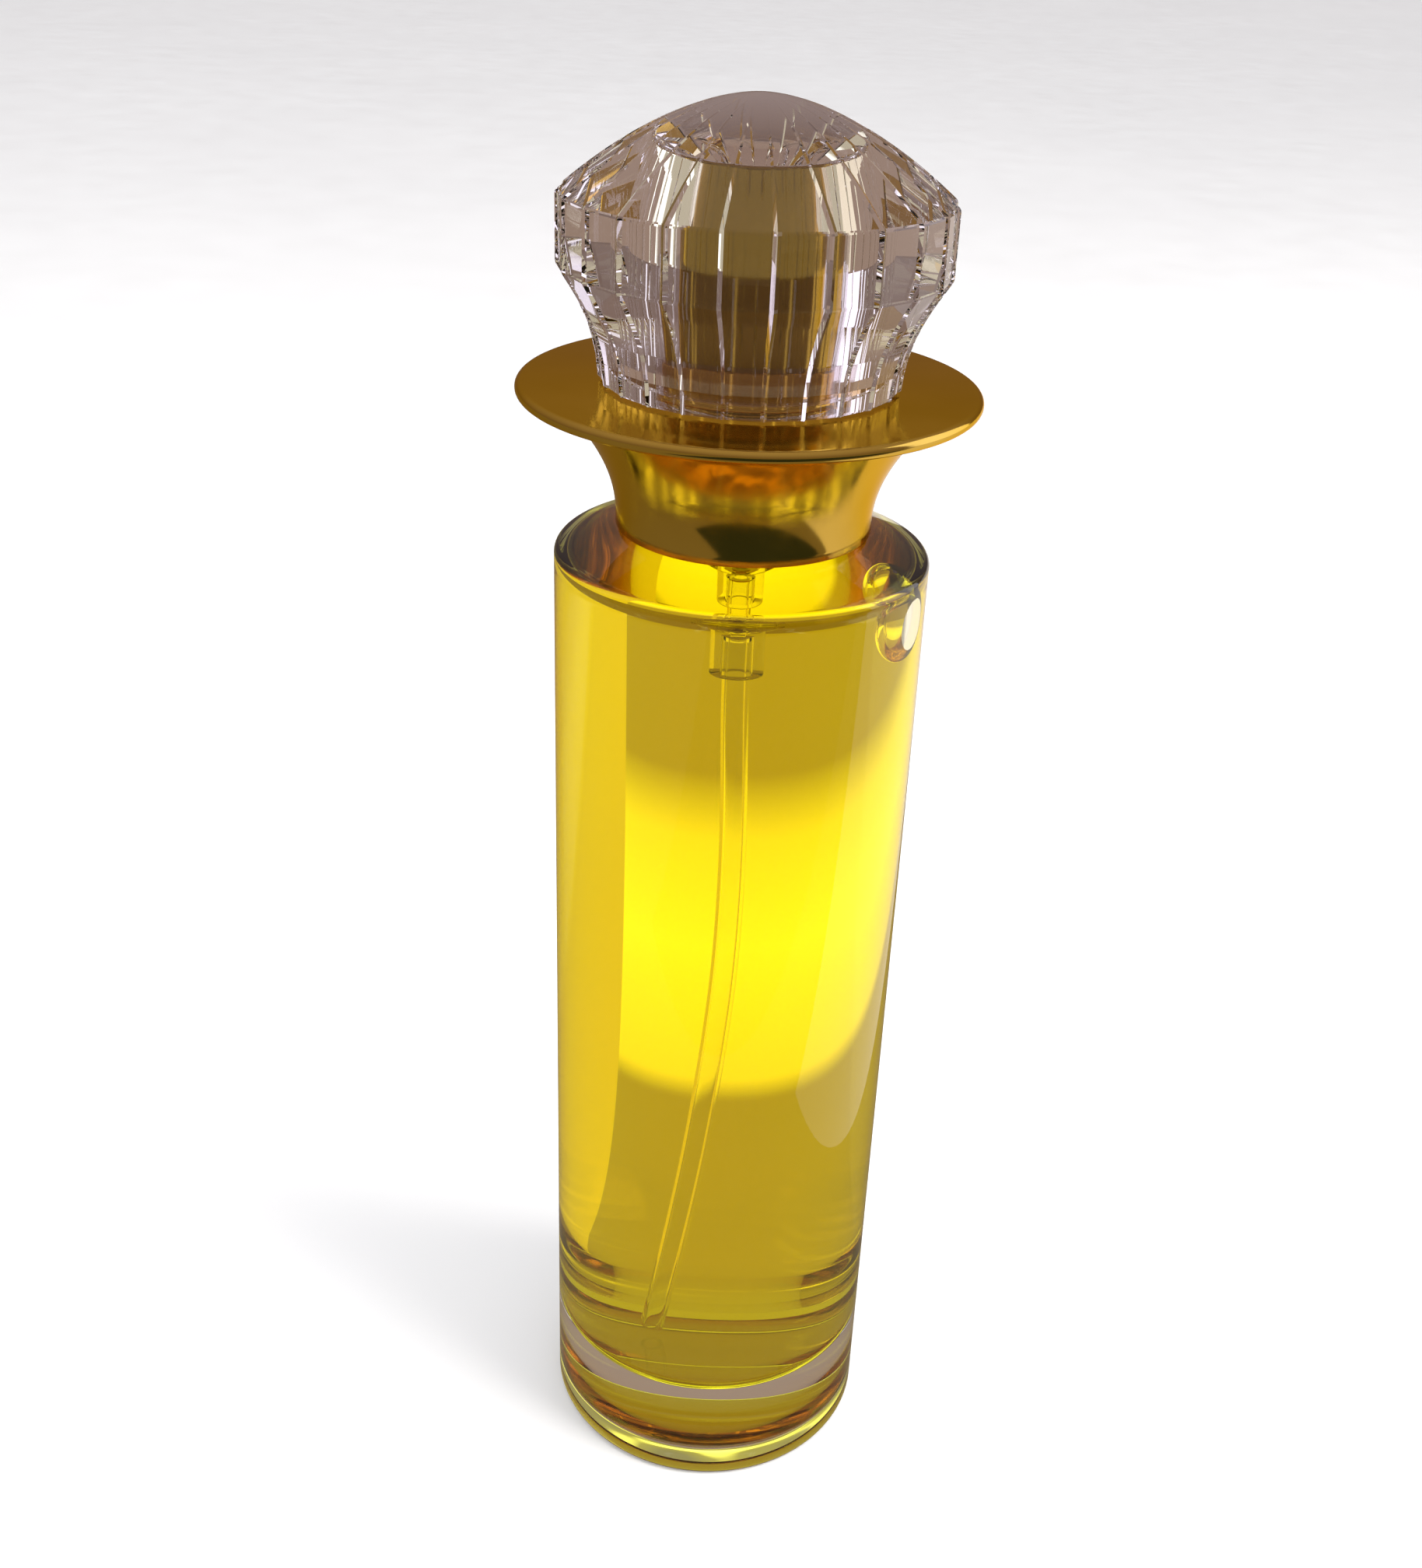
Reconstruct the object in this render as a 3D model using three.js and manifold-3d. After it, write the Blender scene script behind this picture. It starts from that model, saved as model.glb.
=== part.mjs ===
// Glass perfume bottle with a crimped spray pump, a flared metal collar and a clear faceted cap.
// Millimetres, +Z up, origin at the centre of the face that the bottle stands on.
// The bubble is at the front right, +X and -Y, and the head is turned so that the nozzle faces +Y.
// Outlines are lists of [radius, height] turned about the Z axis.

import * as THREE from "three";
import { mergeVertices } from "three/addons/utils/BufferGeometryUtils.js";
import Module from "manifold-3d";

const wasm = await Module();
wasm.setup();

// ---- driving dimensions ----

const BODY_RADIUS = 16.5;
const BODY_EDGE = 0.8;
const WALL = 1.6;
const SHOULDER_Z = 98.4;
const SHOULDER_EDGE = 0.8;
const SHOULDER_SLOPE = THREE.MathUtils.degToRad(19);
const SHOULDER_GLASS = 1.6;
const INNER_CORNER = 1;
const PUNT_DEPTH = 2.8;
const PUNT_RADIUS = 12.8;
const FLOOR_Z = 11;
const FLOOR_CROWN = 1.2;
const FLOOR_CORNER = 2;

const NECK_TOP_Z = 106.6;
const NECK_RADIUS = 6.6;
const NECK_BORE = 4.7;
const BEAD_RADIUS = 7.45;
const BEAD_HEIGHT = 3.2;

const FILL_Z = 101;
const FIT = 0.1;
const BUBBLE_RADII = new THREE.Vector3(2.5, 2.9, 3.5);
const BUBBLE_CENTRE = new THREE.Vector3(12.2, -4.5, 93.9);

const TUBE_OUTER = 0.9;
const TUBE_INNER = 0.6;
const TUBE_SIDES = 10;
const TUBE_STEPS = 30;

const CHAMBER_RADIUS = 2.3;
const CHAMBER_OUTER = 2.9;
const CHAMBER_FLOOR_Z = 94.5;
const TAIL_RADIUS = 1.75;
const TAIL_END_Z = 88;
const SOCKET_DEPTH = 3.6;
const SOCKET_RADIUS = 0.97;
const INLET_RADIUS = 0.5;
const BALL_RADIUS = 0.75;
const BALL_CHAMBER = 1.25;
const FLANGE_RADIUS = 6.9;
const GASKET_THICK = 0.7;
const FLANGE_THICK = 1.0;
const TURRET_THICK = 0.9;
const BOSS_RADIUS = 2.6;
const BOSS_HEIGHT = 1.2;

const STEM_RADIUS = 1.55;
const STEM_BORE = 0.65;
const STEM_TOP_Z = 118.2;
const STEM_FOOT_Z = 101;
const STEM_FOOT_THICK = 0.9;
const STEM_STOP_Z = 106.4;
const STEM_RING = 2.05;
const PISTON_HEIGHT = 2.5;
const RUNNING_GAP = 0.08;

const SHEET = 0.4;
const FERRULE_INNER = 7.6;
const CRIMP_RADIUS = 6.95;
const LINER_RADIUS = 9.1;
const LINER_RIBS = 12;

const COLLAR_FOOT_Z = 100.35;
const COLLAR_FOOT_RADIUS = 11.15;
const COLLAR_WALL = 0.7;
const FLARE_START_Z = 101.2;
const FLARE_END_RADIUS = 15.3;
const FLARE_END_Z = 110.5;
const DISC_RADIUS = 19.7;
const DISC_TOP_Z = 112.8;
const DISC_RIM = 0.55;
const SPIGOT_RADIUS = 7.1;
const SPIGOT_BORE = 6.8;
const SPIGOT_TOP_Z = 116.5;

const ACTUATOR_RADIUS = 6.6;
const ACTUATOR_FOOT_Z = 114.9;
const ACTUATOR_TOP_Z = 129.4;
const ACTUATOR_EDGE = 0.6;
const NOZZLE_Z = 125.6;
const NOZZLE_RADIUS = 1.2;
const NOZZLE_DEPTH = 2;

const CAP_FACETS = 24;
const CAP_TURN = THREE.MathUtils.degToRad(5.5);
const CAP_FOOT_Z = 113;
const CAP_FOOT_RADIUS = 12.75;
const CAP_RADIUS = 16.25;
const CAP_WAIST_Z = 115;
const GIRDLE_LOW_Z = 122.3;
const GIRDLE_HIGH_Z = 127.85;
const CAP_TOP_Z = 135.6;
const CROWN_POWER = 1.75;
const CAP_BORE = 7.3;
const CAP_BORE_TOP_Z = 129.8;
const GRIP_RADIUS = 8.1;
const GRIP_HEIGHT = 4.2;

const ROUND_STEPS = 36;
const SMALL_STEPS = 20;

// ---- materials ----

function finish(color, roughness, metalness, opacity = 1) {
  return new THREE.MeshStandardMaterial({ color, roughness, metalness, opacity, transparent: opacity < 1 });
}

const GLASS = finish(0xf4f6f2, 0.03, 0, 0.35);
const PERFUME = finish(0xf2dc12, 0.05, 0, 0.7);
const GOLD = finish(0xb98a4a, 0.16, 1);
const ALUMINIUM = finish(0xc9c9c6, 0.3, 1);
const STEEL = finish(0xb8babd, 0.25, 1);
const CLEAR_PLASTIC = finish(0xe9e6ee, 0.04, 0, 0.35);
const NATURAL_PLASTIC = finish(0xeceae2, 0.45, 0);
const WHITE_PLASTIC = finish(0xf1f1ee, 0.35, 0);
const BLACK_RUBBER = finish(0x2b2b2c, 0.8, 0);

// ---- helpers ----

const model = new THREE.Group();

function add(name, geometry, material) {
  const mesh = new THREE.Mesh(geometry, material);
  mesh.name = name;
  model.add(mesh);
  return mesh;
}

function arc(radius, height, bend, fromDegrees, toDegrees, steps = 4) {
  const points = [];
  for (let step = 0; step <= steps; step += 1) {
    const angle = THREE.MathUtils.degToRad(fromDegrees + ((toDegrees - fromDegrees) * step) / steps);
    points.push([radius + bend * Math.cos(angle), height + bend * Math.sin(angle)]);
  }
  return points;
}

// An outline runs anticlockwise: outwards underneath, up the outside and back in over the top.
function turned(outline, steps = ROUND_STEPS, start = 0) {
  const points = outline.map(([radius, height]) => new THREE.Vector2(radius, height));
  return new THREE.LatheGeometry(points, steps, start).rotateX(Math.PI / 2);
}

function closed(outline) {
  return [...outline, outline[0]];
}

function ring(inner, outer, low, high) {
  return closed([[inner, low], [outer, low], [outer, high], [inner, high]]);
}

function rod(radius, low, high) {
  return [[0, low], [radius, low], [radius, high], [0, high]];
}

function solid(geometry) {
  const bare = geometry.clone();
  bare.deleteAttribute("normal");
  bare.deleteAttribute("uv");
  const merged = mergeVertices(bare);
  const vertProperties = new Float32Array(merged.attributes.position.array);
  const triVerts = new Uint32Array(merged.index.array);
  return new wasm.Manifold(new wasm.Mesh({ numProp: 3, vertProperties, triVerts }));
}

function geometryOf(body) {
  const mesh = body.getMesh();
  const geometry = new THREE.BufferGeometry();
  geometry.setAttribute("position", new THREE.BufferAttribute(new Float32Array(mesh.vertProperties), 3));
  geometry.setIndex(new THREE.BufferAttribute(new Uint32Array(mesh.triVerts), 1));
  geometry.computeVertexNormals();
  return geometry;
}

function cut(geometry, ...tools) {
  return geometryOf(tools.reduce((body, tool) => body.subtract(solid(tool)), solid(geometry)));
}

// Lays an outline turned about Z down along +Y, at a height.
function nozzleWard(outline, height) {
  return turned(outline, SMALL_STEPS).rotateX(-Math.PI / 2).translate(0, 0, height);
}

class Helix extends THREE.Curve {
  constructor(radius, low, high, turns) {
    super();
    Object.assign(this, { radius, low, high, turns });
  }
  getPoint(share, target = new THREE.Vector3()) {
    const angle = 2 * Math.PI * this.turns * share;
    const height = THREE.MathUtils.lerp(this.low, this.high, share);
    return target.set(this.radius * Math.cos(angle), this.radius * Math.sin(angle), height);
  }
}

function roundSection(radius, sides) {
  const corners = [];
  for (let side = 0; side < sides; side += 1) {
    const angle = (2 * Math.PI * side) / sides;
    corners.push(new THREE.Vector2(radius * Math.cos(angle), radius * Math.sin(angle)));
  }
  return corners;
}

function spring(radius, wire, low, high, turns) {
  const path = new Helix(radius, low + wire, high - wire, turns);
  const section = new THREE.Shape(roundSection(wire, 5));
  return new THREE.ExtrudeGeometry(section, { steps: turns * 10, extrudePath: path });
}

// ---- glass bottle ----

function shoulderZ(radius) {
  return SHOULDER_Z + (BODY_RADIUS - SHOULDER_EDGE - radius) * Math.tan(SHOULDER_SLOPE);
}

// The hollow under the base, a shallow dome from the axis to its mouth.
function punt(steps) {
  const points = [];
  for (let step = 0; step <= steps; step += 1) {
    const angle = (Math.PI / 2) * (step / steps);
    points.push([PUNT_RADIUS * Math.sin(angle), step < steps ? PUNT_DEPTH * Math.cos(angle) : 0]);
  }
  return points;
}

const slopeDegrees = THREE.MathUtils.radToDeg(SHOULDER_SLOPE);
const inside = BODY_RADIUS - WALL;
const innerShoulderZ = (radius) => shoulderZ(radius) - SHOULDER_GLASS;
const beadLow = NECK_TOP_Z - BEAD_HEIGHT;
const rootRadius = NECK_RADIUS + 0.7;
const edgeCentreZ = SHOULDER_Z - SHOULDER_EDGE;

const cavityWall = [
  [NECK_BORE, innerShoulderZ(NECK_BORE) + 0.6],
  [NECK_BORE + 0.5, innerShoulderZ(NECK_BORE + 0.5)],
  ...arc(inside - INNER_CORNER, innerShoulderZ(inside) - INNER_CORNER, INNER_CORNER, 90 - slopeDegrees, 0, 4),
  ...arc(inside - FLOOR_CORNER, FLOOR_Z + FLOOR_CORNER, FLOOR_CORNER, 0, -90, 5),
  [0, FLOOR_Z + FLOOR_CROWN],
];

const bottleOutline = [
  ...punt(6),
  ...arc(BODY_RADIUS - BODY_EDGE, BODY_EDGE, BODY_EDGE, -90, 0, 4),
  ...arc(BODY_RADIUS - SHOULDER_EDGE, edgeCentreZ, SHOULDER_EDGE, 0, 90 - slopeDegrees, 4),
  [rootRadius, shoulderZ(rootRadius)],
  [NECK_RADIUS, shoulderZ(rootRadius) + 0.6],
  [NECK_RADIUS, beadLow - 0.3],
  [BEAD_RADIUS, beadLow + 0.5],
  ...arc(BEAD_RADIUS - 0.6, NECK_TOP_Z - 0.6, 0.6, 0, 90, 3),
  [NECK_BORE + 0.4, NECK_TOP_Z],
  [NECK_BORE, NECK_TOP_Z - 0.4],
  ...cavityWall,
];
add("glass_bottle", turned(bottleOutline), GLASS);

// ---- dip tube: straight out of the pump, then bending towards the front left of the floor ----

const tubePath = new THREE.CatmullRomCurve3([
  new THREE.Vector3(0, 0, TAIL_END_Z + SOCKET_DEPTH - 0.2),
  new THREE.Vector3(0, 0, TAIL_END_Z - 3),
  new THREE.Vector3(0.3, 0, 70),
  new THREE.Vector3(0, -0.3, 55),
  new THREE.Vector3(-1.2, -1.2, 38),
  new THREE.Vector3(-2.7, -2.5, 24),
  new THREE.Vector3(-4.2, -3.9, FLOOR_Z + FLOOR_CROWN + 1),
]);
const tubeSection = new THREE.Shape(roundSection(TUBE_OUTER, TUBE_SIDES));
tubeSection.holes.push(new THREE.Path(roundSection(TUBE_INNER, TUBE_SIDES)));
add("dip_tube", new THREE.ExtrudeGeometry(tubeSection, { steps: TUBE_STEPS, extrudePath: tubePath }), CLEAR_PLASTIC);

// ---- pump ----

const gasketTop = NECK_TOP_Z + GASKET_THICK;
const flangeTop = gasketTop + FLANGE_THICK;
const sealPocketZ = flangeTop - 0.85;
const sealRadius = 3.4;
const tailStartZ = CHAMBER_FLOOR_Z - 1.6;
const socketTop = TAIL_END_Z + SOCKET_DEPTH;
const seatZ = socketTop + 0.6;

const housingOutline = closed([
  [SOCKET_RADIUS, TAIL_END_Z],
  [TAIL_RADIUS, TAIL_END_Z],
  [TAIL_RADIUS, tailStartZ],
  [CHAMBER_OUTER, tailStartZ + 1],
  [CHAMBER_OUTER, sealPocketZ - 1.2],
  [NECK_BORE - 0.3, sealPocketZ - 0.6],
  [NECK_BORE - 0.3, gasketTop],
  [FLANGE_RADIUS, gasketTop],
  [FLANGE_RADIUS, flangeTop],
  [sealRadius, flangeTop],
  [sealRadius, sealPocketZ],
  [CHAMBER_RADIUS, sealPocketZ],
  [CHAMBER_RADIUS, CHAMBER_FLOOR_Z],
  [BALL_CHAMBER, CHAMBER_FLOOR_Z],
  [BALL_CHAMBER, seatZ + BALL_CHAMBER - INLET_RADIUS],
  [INLET_RADIUS, seatZ],
  [INLET_RADIUS, socketTop],
  [SOCKET_RADIUS, socketTop],
]);
add("pump_housing", turned(housingOutline, SMALL_STEPS), NATURAL_PLASTIC);

// ---- liquid: fills the glass around the pump and tube, with one air bubble under the shoulder ----

const perfumeOutline = [
  [0, FLOOR_Z + FLOOR_CROWN + FIT],
  ...arc(inside - FLOOR_CORNER, FLOOR_Z + FLOOR_CORNER + FIT, FLOOR_CORNER - FIT, -90, 0, 5),
  ...arc(inside - INNER_CORNER, innerShoulderZ(inside) - INNER_CORNER - FIT, INNER_CORNER - FIT, 0, 90 - slopeDegrees, 4),
  [NECK_BORE + 0.5, innerShoulderZ(NECK_BORE + 0.5) - FIT],
  [NECK_BORE - FIT, FILL_Z],
  [0, FILL_Z],
];
const pumpClearance = turned([
  [0, TAIL_END_Z - FIT],
  [TAIL_RADIUS + FIT, TAIL_END_Z - FIT],
  [TAIL_RADIUS + FIT, tailStartZ - FIT],
  [CHAMBER_OUTER + FIT, tailStartZ + 1 - FIT],
  [CHAMBER_OUTER + FIT, FILL_Z + 1],
  [0, FILL_Z + 1],
], SMALL_STEPS);
const tubeClearance = new THREE.ExtrudeGeometry(new THREE.Shape(roundSection(TUBE_OUTER + FIT, TUBE_SIDES)), {
  steps: TUBE_STEPS,
  extrudePath: tubePath,
});
const bubble = new THREE.SphereGeometry(1, 16, 12)
  .scale(BUBBLE_RADII.x, BUBBLE_RADII.y, BUBBLE_RADII.z)
  .translate(BUBBLE_CENTRE.x, BUBBLE_CENTRE.y, BUBBLE_CENTRE.z);
add("perfume", cut(turned(perfumeOutline), pumpClearance, tubeClearance, bubble), PERFUME);

// ---- pump, moving pieces and seals ----

const ballZ = seatZ + BALL_RADIUS;
add("inlet_ball", new THREE.SphereGeometry(BALL_RADIUS, 12, 8).translate(0, 0, ballZ), STEEL);
add("return_spring", spring(1.72, 0.2, CHAMBER_FLOOR_Z + FIT, STEM_FOOT_Z - FIT, 5), STEEL);

const footTop = STEM_FOOT_Z + STEM_FOOT_THICK;
const portZ = footTop + 0.35;
const stemOutline = [
  [0, STEM_FOOT_Z],
  [STEM_RING, STEM_FOOT_Z],
  [STEM_RING, footTop - 0.3],
  [STEM_RADIUS, footTop],
  [STEM_RADIUS, STEM_STOP_Z],
  [STEM_RING, STEM_STOP_Z],
  [STEM_RING, STEM_STOP_Z + 0.7],
  [STEM_RADIUS, STEM_STOP_Z + 0.7],
  [STEM_RADIUS, STEM_TOP_Z - 0.3],
  [STEM_RADIUS - 0.3, STEM_TOP_Z],
  [STEM_BORE, STEM_TOP_Z],
  [STEM_BORE, portZ - 0.2],
  [0, portZ - 0.2],
];
const stemPort = new THREE.BoxGeometry(2 * STEM_RING, 0.5, 0.5).translate(0, 0, portZ + 0.1);
add("stem", cut(turned(stemOutline, SMALL_STEPS), stemPort), WHITE_PLASTIC);

const pistonLow = footTop + 0.1;
const pistonHigh = pistonLow + PISTON_HEIGHT;
const pistonInner = STEM_RADIUS + RUNNING_GAP;
const pistonOutline = closed([
  [pistonInner, pistonLow + 0.5],
  [CHAMBER_RADIUS - 0.25, pistonLow],
  [CHAMBER_RADIUS - 0.05, pistonLow + 0.1],
  [CHAMBER_RADIUS - 0.3, pistonLow + 0.8],
  [CHAMBER_RADIUS - 0.3, pistonHigh - 0.7],
  [CHAMBER_RADIUS - 0.05, pistonHigh - 0.1],
  [CHAMBER_RADIUS - 0.25, pistonHigh],
  [pistonInner, pistonHigh - 0.3],
]);
add("piston", turned(pistonOutline, SMALL_STEPS), NATURAL_PLASTIC);
add("valve_spring", spring(1.84, 0.13, pistonHigh + FIT, STEM_STOP_Z - FIT, 3), STEEL);
add("stem_seal", turned(ring(pistonInner, sealRadius - FIT, sealPocketZ + 0.05, flangeTop - 0.05)), BLACK_RUBBER);

const turretLow = flangeTop + 0.05;
const turretTop = turretLow + TURRET_THICK;
const stemClearance = STEM_RADIUS + 0.12;
const turretOutline = closed([
  [stemClearance, turretLow],
  [FLANGE_RADIUS, turretLow],
  [FLANGE_RADIUS, turretTop],
  [BOSS_RADIUS, turretTop],
  [BOSS_RADIUS, turretTop + BOSS_HEIGHT - 0.2],
  [BOSS_RADIUS - 0.2, turretTop + BOSS_HEIGHT],
  [stemClearance, turretTop + BOSS_HEIGHT],
]);
add("turret", turned(turretOutline, SMALL_STEPS), WHITE_PLASTIC);
add("neck_gasket", turned(ring(NECK_BORE + 0.2, BEAD_RADIUS - 0.2, NECK_TOP_Z + 0.05, gasketTop - 0.05)), BLACK_RUBBER);

// ---- crimped ferrule: a thin cup over the neck, its lip rolled in under the glass bead ----

const ferruleTop = turretTop + 0.05 + SHEET;
const ferruleOuter = FERRULE_INNER + SHEET;
const crimpZ = beadLow - 0.1;
const ferruleOutline = closed([
  [BOSS_RADIUS + 0.15, ferruleTop - SHEET],
  ...arc(FERRULE_INNER - 0.3, ferruleTop - SHEET - 0.3, 0.3, 90, 0, 2),
  [FERRULE_INNER, crimpZ + 0.2],
  [CRIMP_RADIUS, crimpZ - 0.55],
  [CRIMP_RADIUS + 0.2, crimpZ - 0.9],
  [ferruleOuter, crimpZ - 0.05],
  ...arc(ferruleOuter - 0.7, ferruleTop - 0.7, 0.7, 0, 90, 3),
  [BOSS_RADIUS + 0.15, ferruleTop],
]);
add("crimp_ferrule", turned(ferruleOutline), ALUMINIUM);

// ---- collar, and the ribbed sleeve that grips the ferrule inside it ----

const linerLow = COLLAR_FOOT_Z + 0.9;
const linerHigh = ferruleTop - 1;
const ribReach = COLLAR_FOOT_RADIUS - COLLAR_WALL - 0.15;
const ribHalfAngle = 0.06;

const linerShape = new THREE.Shape();
for (let rib = 0; rib < LINER_RIBS; rib += 1) {
  const middle = (2 * Math.PI * rib) / LINER_RIBS;
  const next = (2 * Math.PI * (rib + 1)) / LINER_RIBS;
  linerShape.absarc(0, 0, ribReach, middle - ribHalfAngle, middle + ribHalfAngle, false);
  linerShape.absarc(0, 0, LINER_RADIUS, middle + ribHalfAngle, next - ribHalfAngle, false);
}
linerShape.holes.push(new THREE.Path(roundSection(ferruleOuter + FIT, ROUND_STEPS)));
const linerHeight = linerHigh - linerLow;
const liner = new THREE.ExtrudeGeometry(linerShape, { depth: linerHeight, bevelEnabled: false, curveSegments: 4 });
add("collar_liner", liner.translate(0, 0, linerLow), NATURAL_PLASTIC);

// The flare is a parabola from a straight foot; offset moves it inwards for the inside of the wall.
function flare(offset, steps) {
  const points = [];
  for (let step = 0; step <= steps; step += 1) {
    const share = step / steps;
    const radius = COLLAR_FOOT_RADIUS + (FLARE_END_RADIUS - COLLAR_FOOT_RADIUS) * share ** 2;
    points.push([radius - offset, THREE.MathUtils.lerp(FLARE_START_Z, FLARE_END_Z, share)]);
  }
  return points;
}

const rimZ = DISC_TOP_Z - DISC_RIM;
const spigotLip = (SPIGOT_RADIUS - SPIGOT_BORE) / 2;
const collarOutline = closed([
  [COLLAR_FOOT_RADIUS - COLLAR_WALL, COLLAR_FOOT_Z],
  [COLLAR_FOOT_RADIUS, COLLAR_FOOT_Z],
  ...flare(0, 6),
  [FLARE_END_RADIUS + 1.4, FLARE_END_Z + 0.7],
  [DISC_RADIUS - 0.9, rimZ - DISC_RIM - 0.1],
  ...arc(DISC_RADIUS - DISC_RIM, rimZ, DISC_RIM, -60, 90, 4),
  ...arc(SPIGOT_RADIUS + 0.4, DISC_TOP_Z + 0.4, 0.4, 270, 180, 2),
  ...arc(SPIGOT_RADIUS - spigotLip, SPIGOT_TOP_Z - spigotLip, spigotLip, 0, 180, 2),
  [SPIGOT_BORE, DISC_TOP_Z - COLLAR_WALL],
  [FLARE_END_RADIUS - COLLAR_WALL + 0.6, DISC_TOP_Z - COLLAR_WALL],
  ...flare(COLLAR_WALL, 4).reverse(),
]);
add("collar", turned(collarOutline), GOLD);

// ---- actuator: a metal shell over a moulded core, with the nozzle in its front ----

const shellWall = 0.45;
const shellInner = ACTUATOR_RADIUS - shellWall;
const shellCeiling = ACTUATOR_TOP_Z - shellWall;
const shellOutline = [
  [0, shellCeiling],
  [shellInner - 0.2, shellCeiling],
  [shellInner, shellCeiling - 0.2],
  [shellInner, ACTUATOR_FOOT_Z],
  [ACTUATOR_RADIUS, ACTUATOR_FOOT_Z],
  ...arc(ACTUATOR_RADIUS - ACTUATOR_EDGE, ACTUATOR_TOP_Z - ACTUATOR_EDGE, ACTUATOR_EDGE, 0, 90, 4),
  [0, ACTUATOR_TOP_Z],
];
const nozzleWindow = nozzleWard(rod(NOZZLE_RADIUS + FIT, 3, ACTUATOR_RADIUS + 1), NOZZLE_Z);
add("actuator_shell", cut(turned(shellOutline), nozzleWindow), GOLD);

const coreRadius = shellInner - FIT;
const coreLow = ACTUATOR_FOOT_Z + 0.3;
const coreTop = shellCeiling - FIT;
const socketRadius = STEM_RADIUS + FIT;
const socketWall = 2.7;
const pocketTop = NOZZLE_Z - NOZZLE_RADIUS - 1;
const coreOutline = [
  [0, STEM_TOP_Z + FIT],
  [socketRadius, STEM_TOP_Z + FIT],
  [socketRadius, coreLow],
  [socketWall, coreLow],
  [socketWall, pocketTop],
  [coreRadius - 0.9, pocketTop],
  [coreRadius - 0.9, coreLow],
  [coreRadius, coreLow],
  ...arc(coreRadius - 0.4, coreTop - 0.4, 0.4, 0, 90, 2),
  [0, coreTop],
];
const riser = turned(rod(STEM_BORE, STEM_TOP_Z - 1, NOZZLE_Z + STEM_BORE), SMALL_STEPS);
const nozzlePocket = nozzleWard(rod(NOZZLE_RADIUS + FIT, coreRadius - NOZZLE_DEPTH, ACTUATOR_RADIUS), NOZZLE_Z);
const feed = nozzleWard(rod(0.4, 0, coreRadius), NOZZLE_Z);
add("actuator_core", cut(turned(coreOutline), riser, nozzlePocket, feed), WHITE_PLASTIC);

const nozzleBack = coreRadius - NOZZLE_DEPTH + FIT;
const nozzleFront = ACTUATOR_RADIUS - 0.25;
const nozzleOutline = closed([
  [0.15, nozzleBack],
  [NOZZLE_RADIUS, nozzleBack],
  [NOZZLE_RADIUS, nozzleFront - 0.15],
  [NOZZLE_RADIUS - 0.15, nozzleFront],
  [0.5, nozzleFront],
  [0.15, nozzleFront - 0.35],
]);
add("nozzle_insert", nozzleWard(nozzleOutline, NOZZLE_Z), WHITE_PLASTIC);

// ---- clear cap: flat facets round a solid dome, bored for the actuator, with a grip ring inside ----

function crown(steps) {
  const points = [];
  for (let step = 0; step <= steps; step += 1) {
    const radius = CAP_RADIUS * (1 - step / steps);
    const rise = 1 - (radius / CAP_RADIUS) ** CROWN_POWER;
    points.push([radius, GIRDLE_HIGH_Z + (CAP_TOP_Z - GIRDLE_HIGH_Z) * rise]);
  }
  return points;
}

const capOutline = [
  [0, CAP_FOOT_Z],
  [CAP_FOOT_RADIUS - 0.15, CAP_FOOT_Z],
  [CAP_FOOT_RADIUS, CAP_FOOT_Z + 0.15],
  [CAP_FOOT_RADIUS + 0.2, CAP_WAIST_Z],
  [CAP_FOOT_RADIUS + 0.8, CAP_WAIST_Z + 2.3],
  [CAP_FOOT_RADIUS + 1.9, CAP_WAIST_Z + 4.7],
  [CAP_RADIUS, GIRDLE_LOW_Z],
  ...crown(6),
];
const gripTop = CAP_FOOT_Z + GRIP_HEIGHT;
const capBore = turned([
  [0, CAP_FOOT_Z - 1],
  [GRIP_RADIUS, CAP_FOOT_Z - 1],
  [GRIP_RADIUS, gripTop],
  [CAP_BORE, gripTop],
  ...arc(CAP_BORE - 0.8, CAP_BORE_TOP_Z - 0.8, 0.8, 0, 90, 3),
  [0, CAP_BORE_TOP_Z],
]);
add("cap_dome", cut(turned(capOutline, CAP_FACETS, CAP_TURN), capBore), CLEAR_PLASTIC);
add("cap_grip_ring", turned(ring(SPIGOT_RADIUS + 0.1, GRIP_RADIUS - FIT, CAP_FOOT_Z + 0.5, gripTop - FIT)), CLEAR_PLASTIC);

export default model;
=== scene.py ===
import math

import bmesh
import bpy
from mathutils import Matrix, Vector


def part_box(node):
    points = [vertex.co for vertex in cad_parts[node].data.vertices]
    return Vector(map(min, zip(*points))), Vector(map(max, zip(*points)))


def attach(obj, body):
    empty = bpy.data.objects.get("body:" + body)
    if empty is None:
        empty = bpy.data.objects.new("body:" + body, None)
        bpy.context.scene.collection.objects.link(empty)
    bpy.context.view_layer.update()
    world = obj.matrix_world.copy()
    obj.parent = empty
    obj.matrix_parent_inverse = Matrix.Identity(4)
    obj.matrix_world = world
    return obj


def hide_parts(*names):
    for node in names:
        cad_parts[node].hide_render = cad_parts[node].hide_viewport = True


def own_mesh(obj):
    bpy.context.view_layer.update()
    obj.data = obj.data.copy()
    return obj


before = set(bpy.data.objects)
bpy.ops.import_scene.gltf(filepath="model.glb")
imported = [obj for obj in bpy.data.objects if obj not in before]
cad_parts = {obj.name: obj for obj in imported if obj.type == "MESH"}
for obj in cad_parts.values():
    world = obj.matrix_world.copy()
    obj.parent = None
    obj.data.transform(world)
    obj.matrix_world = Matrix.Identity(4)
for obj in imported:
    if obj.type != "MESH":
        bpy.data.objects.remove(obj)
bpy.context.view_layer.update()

# Outlines are lists of (radius, height) in millimetres. They run anticlockwise: outwards underneath, up the
# outside and back over the top. The camera, the cards and the lights are placed in metres.
MM = 0.001


def low(node):
    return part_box(node)[0] / MM


def high(node):
    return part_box(node)[1] / MM


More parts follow.
